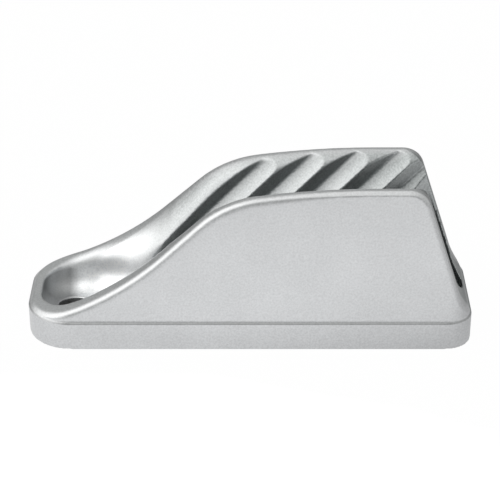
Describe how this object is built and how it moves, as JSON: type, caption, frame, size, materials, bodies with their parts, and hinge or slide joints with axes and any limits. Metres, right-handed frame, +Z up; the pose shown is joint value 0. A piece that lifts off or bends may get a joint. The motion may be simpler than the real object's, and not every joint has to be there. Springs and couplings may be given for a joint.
{
  "type": "jam cleat",
  "caption": "One-piece cast jam cleat with a ramped rope channel between toothed V jaws, screwed down through a recess at the low end and a round bore at the high end.",
  "frame": {"origin": "middle of the flat underside, at half length and half width", "axes": "+X along the rope from the low tail to the high head, +Z up from the deck, Y across the rope"},
  "size_m": [0.065, 0.0188, 0.0247],
  "materials": {
    "cast_aluminium": "bead-blasted casting with a fine grain"
  },
  "bodies": {
    "root": {"cleat_body": "cast_aluminium"}
  },
  "joints": []
}
